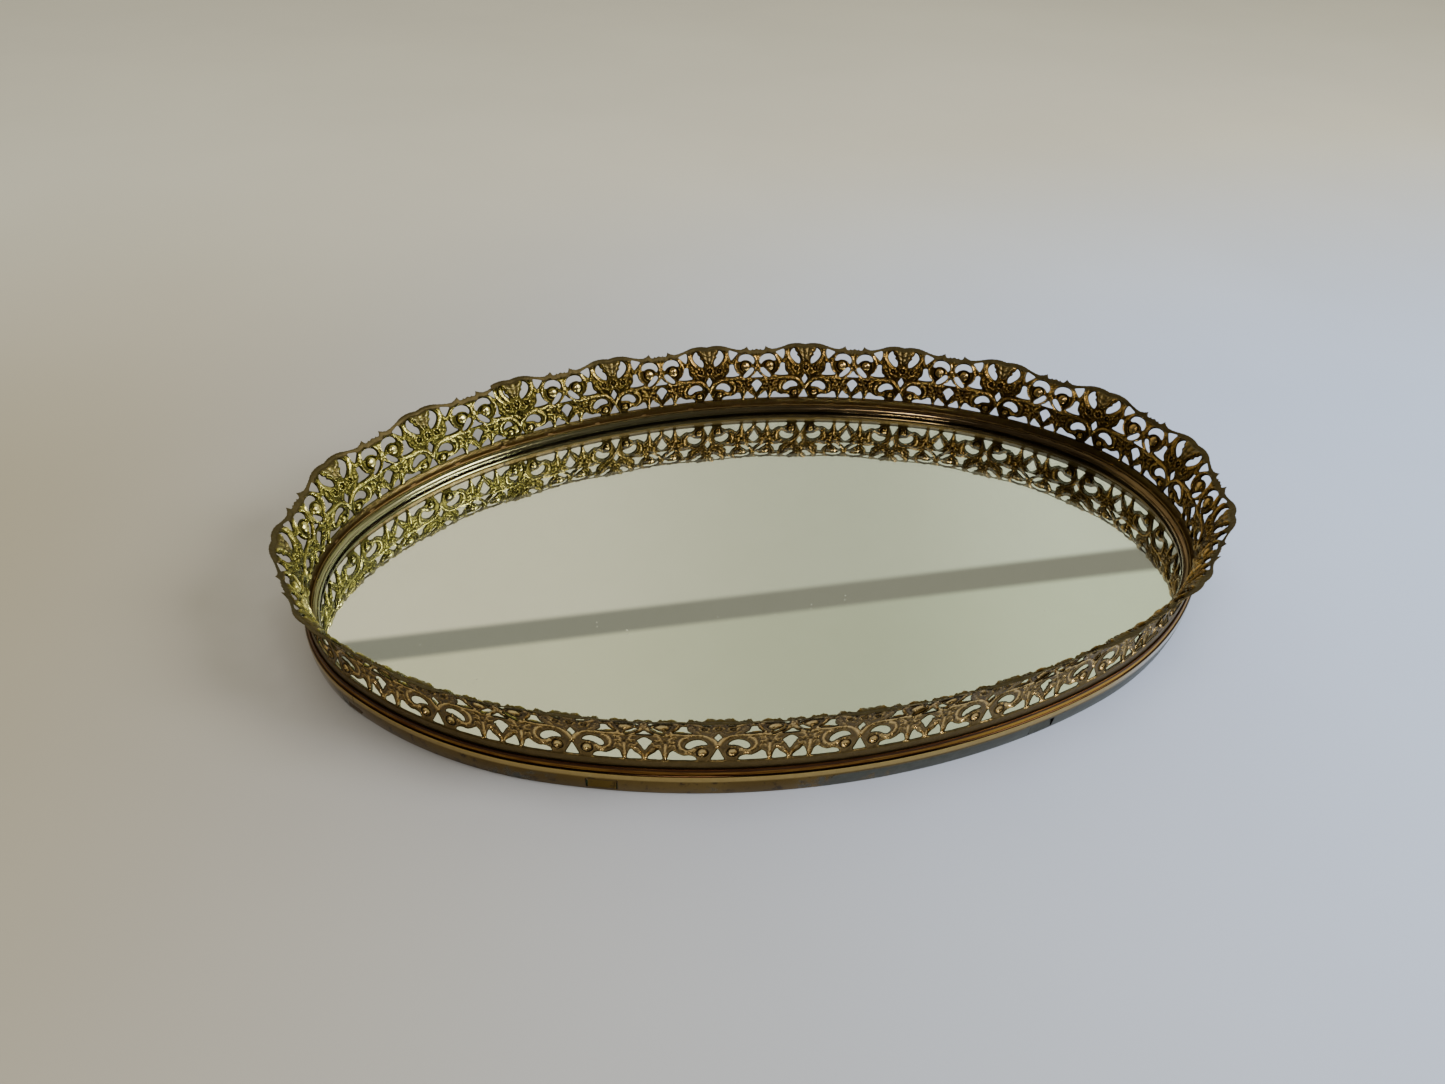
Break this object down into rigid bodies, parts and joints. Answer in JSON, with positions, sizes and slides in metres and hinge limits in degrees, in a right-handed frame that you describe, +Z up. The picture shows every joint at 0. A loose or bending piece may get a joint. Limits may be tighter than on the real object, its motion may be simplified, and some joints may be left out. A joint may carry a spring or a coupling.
{
  "type": "vanity tray",
  "caption": "Oval dresser tray with a mirror floor, a low roll-formed brass rim and a stamped filigree gallery all round.",
  "frame": {"origin": "centre of the oval on the resting plane, at the bottom of the rim and felt", "axes": "+X along the tray's length, +Y across it, +Z up"},
  "size_m": [0.4122, 0.2642, 0.0443],
  "materials": {
    "rim_brass": "aged, lacquer worn, semi-gloss",
    "filigree_brass": "aged gilt, stamped relief, semi-gloss",
    "clear_glass": "polished plate glass",
    "silvering": "silvered, painted grey on the back",
    "grey_card": "matt greyboard",
    "corrugated_board": "matt kraft board",
    "felt": "pressed wool felt",
    "solder": "dull grey soft solder"
  },
  "bodies": {
    "root": {"rim": "rim_brass", "gallery": "filigree_brass", "mirror_glass": "clear_glass", "mirror_silvering": "silvering", "backing_card": "grey_card", "base_board": "corrugated_board", "felt_cover": "felt", "gallery_solder": "solder", "rim_seam_solder": "solder"}
  },
  "joints": []
}
